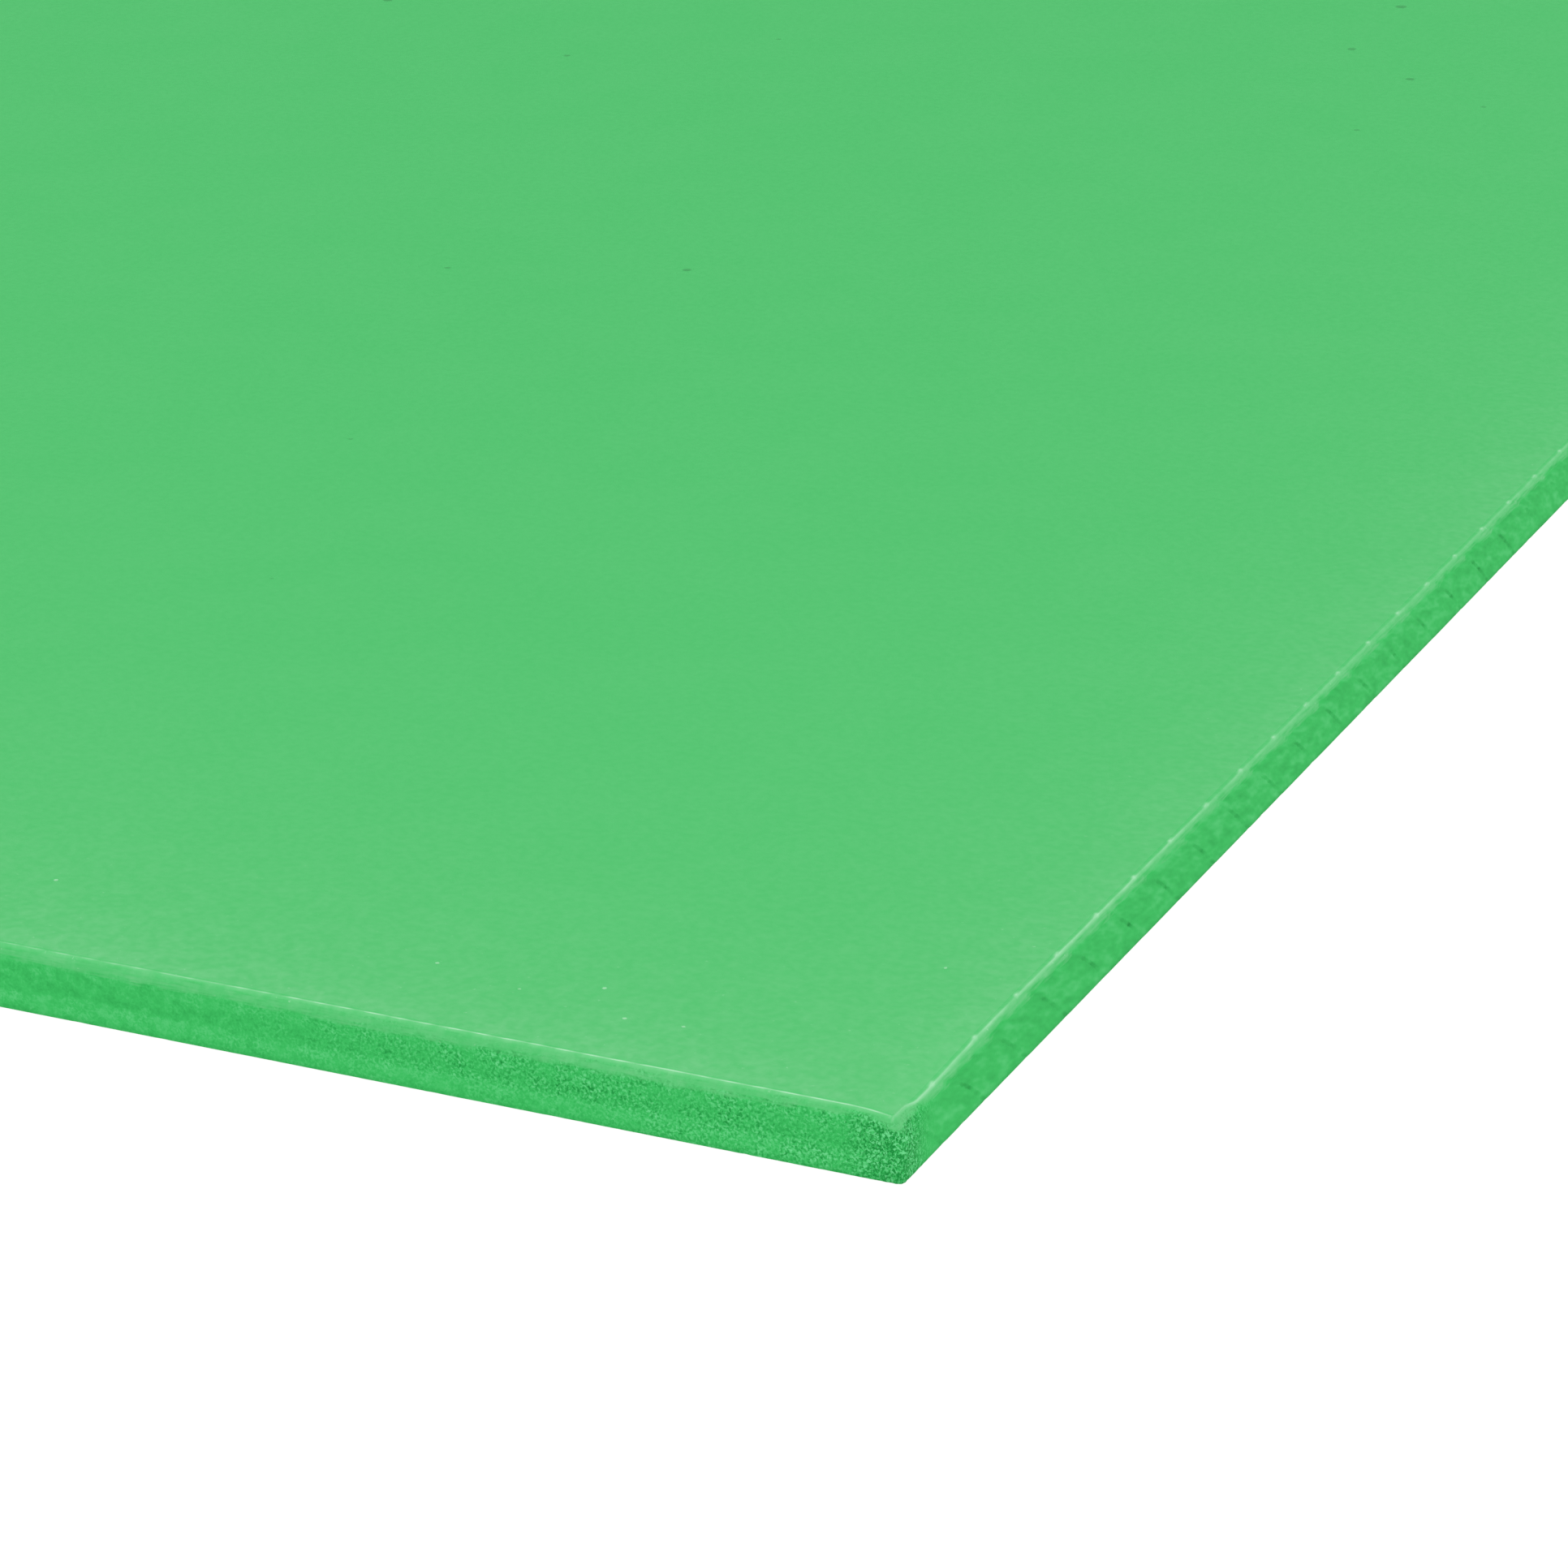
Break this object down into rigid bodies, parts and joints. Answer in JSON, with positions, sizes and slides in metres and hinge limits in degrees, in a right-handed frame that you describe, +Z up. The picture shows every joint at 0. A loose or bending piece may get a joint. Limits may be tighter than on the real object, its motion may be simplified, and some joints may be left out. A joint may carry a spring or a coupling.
{
  "type": "pvc foam board",
  "caption": "Flat rectangular sheet of rigid foamed plastic with a satin skin, cellular cut edges, a rolled upper arris and slightly blunted corners.",
  "frame": {"origin": "centre of the underside, on the surface that the sheet lies on", "axes": "+Z up through the thickness, +Y along the sheet's length, +X across its width"},
  "size_m": [0.3, 0.4, 0.005],
  "materials": {
    "foamed_pvc": "grass green rigid foamed PVC, coloured through: smooth satin skin on both faces, matt fine cells on the cut edges"
  },
  "bodies": {
    "root": {"foam_board": "foamed_pvc"}
  },
  "joints": []
}
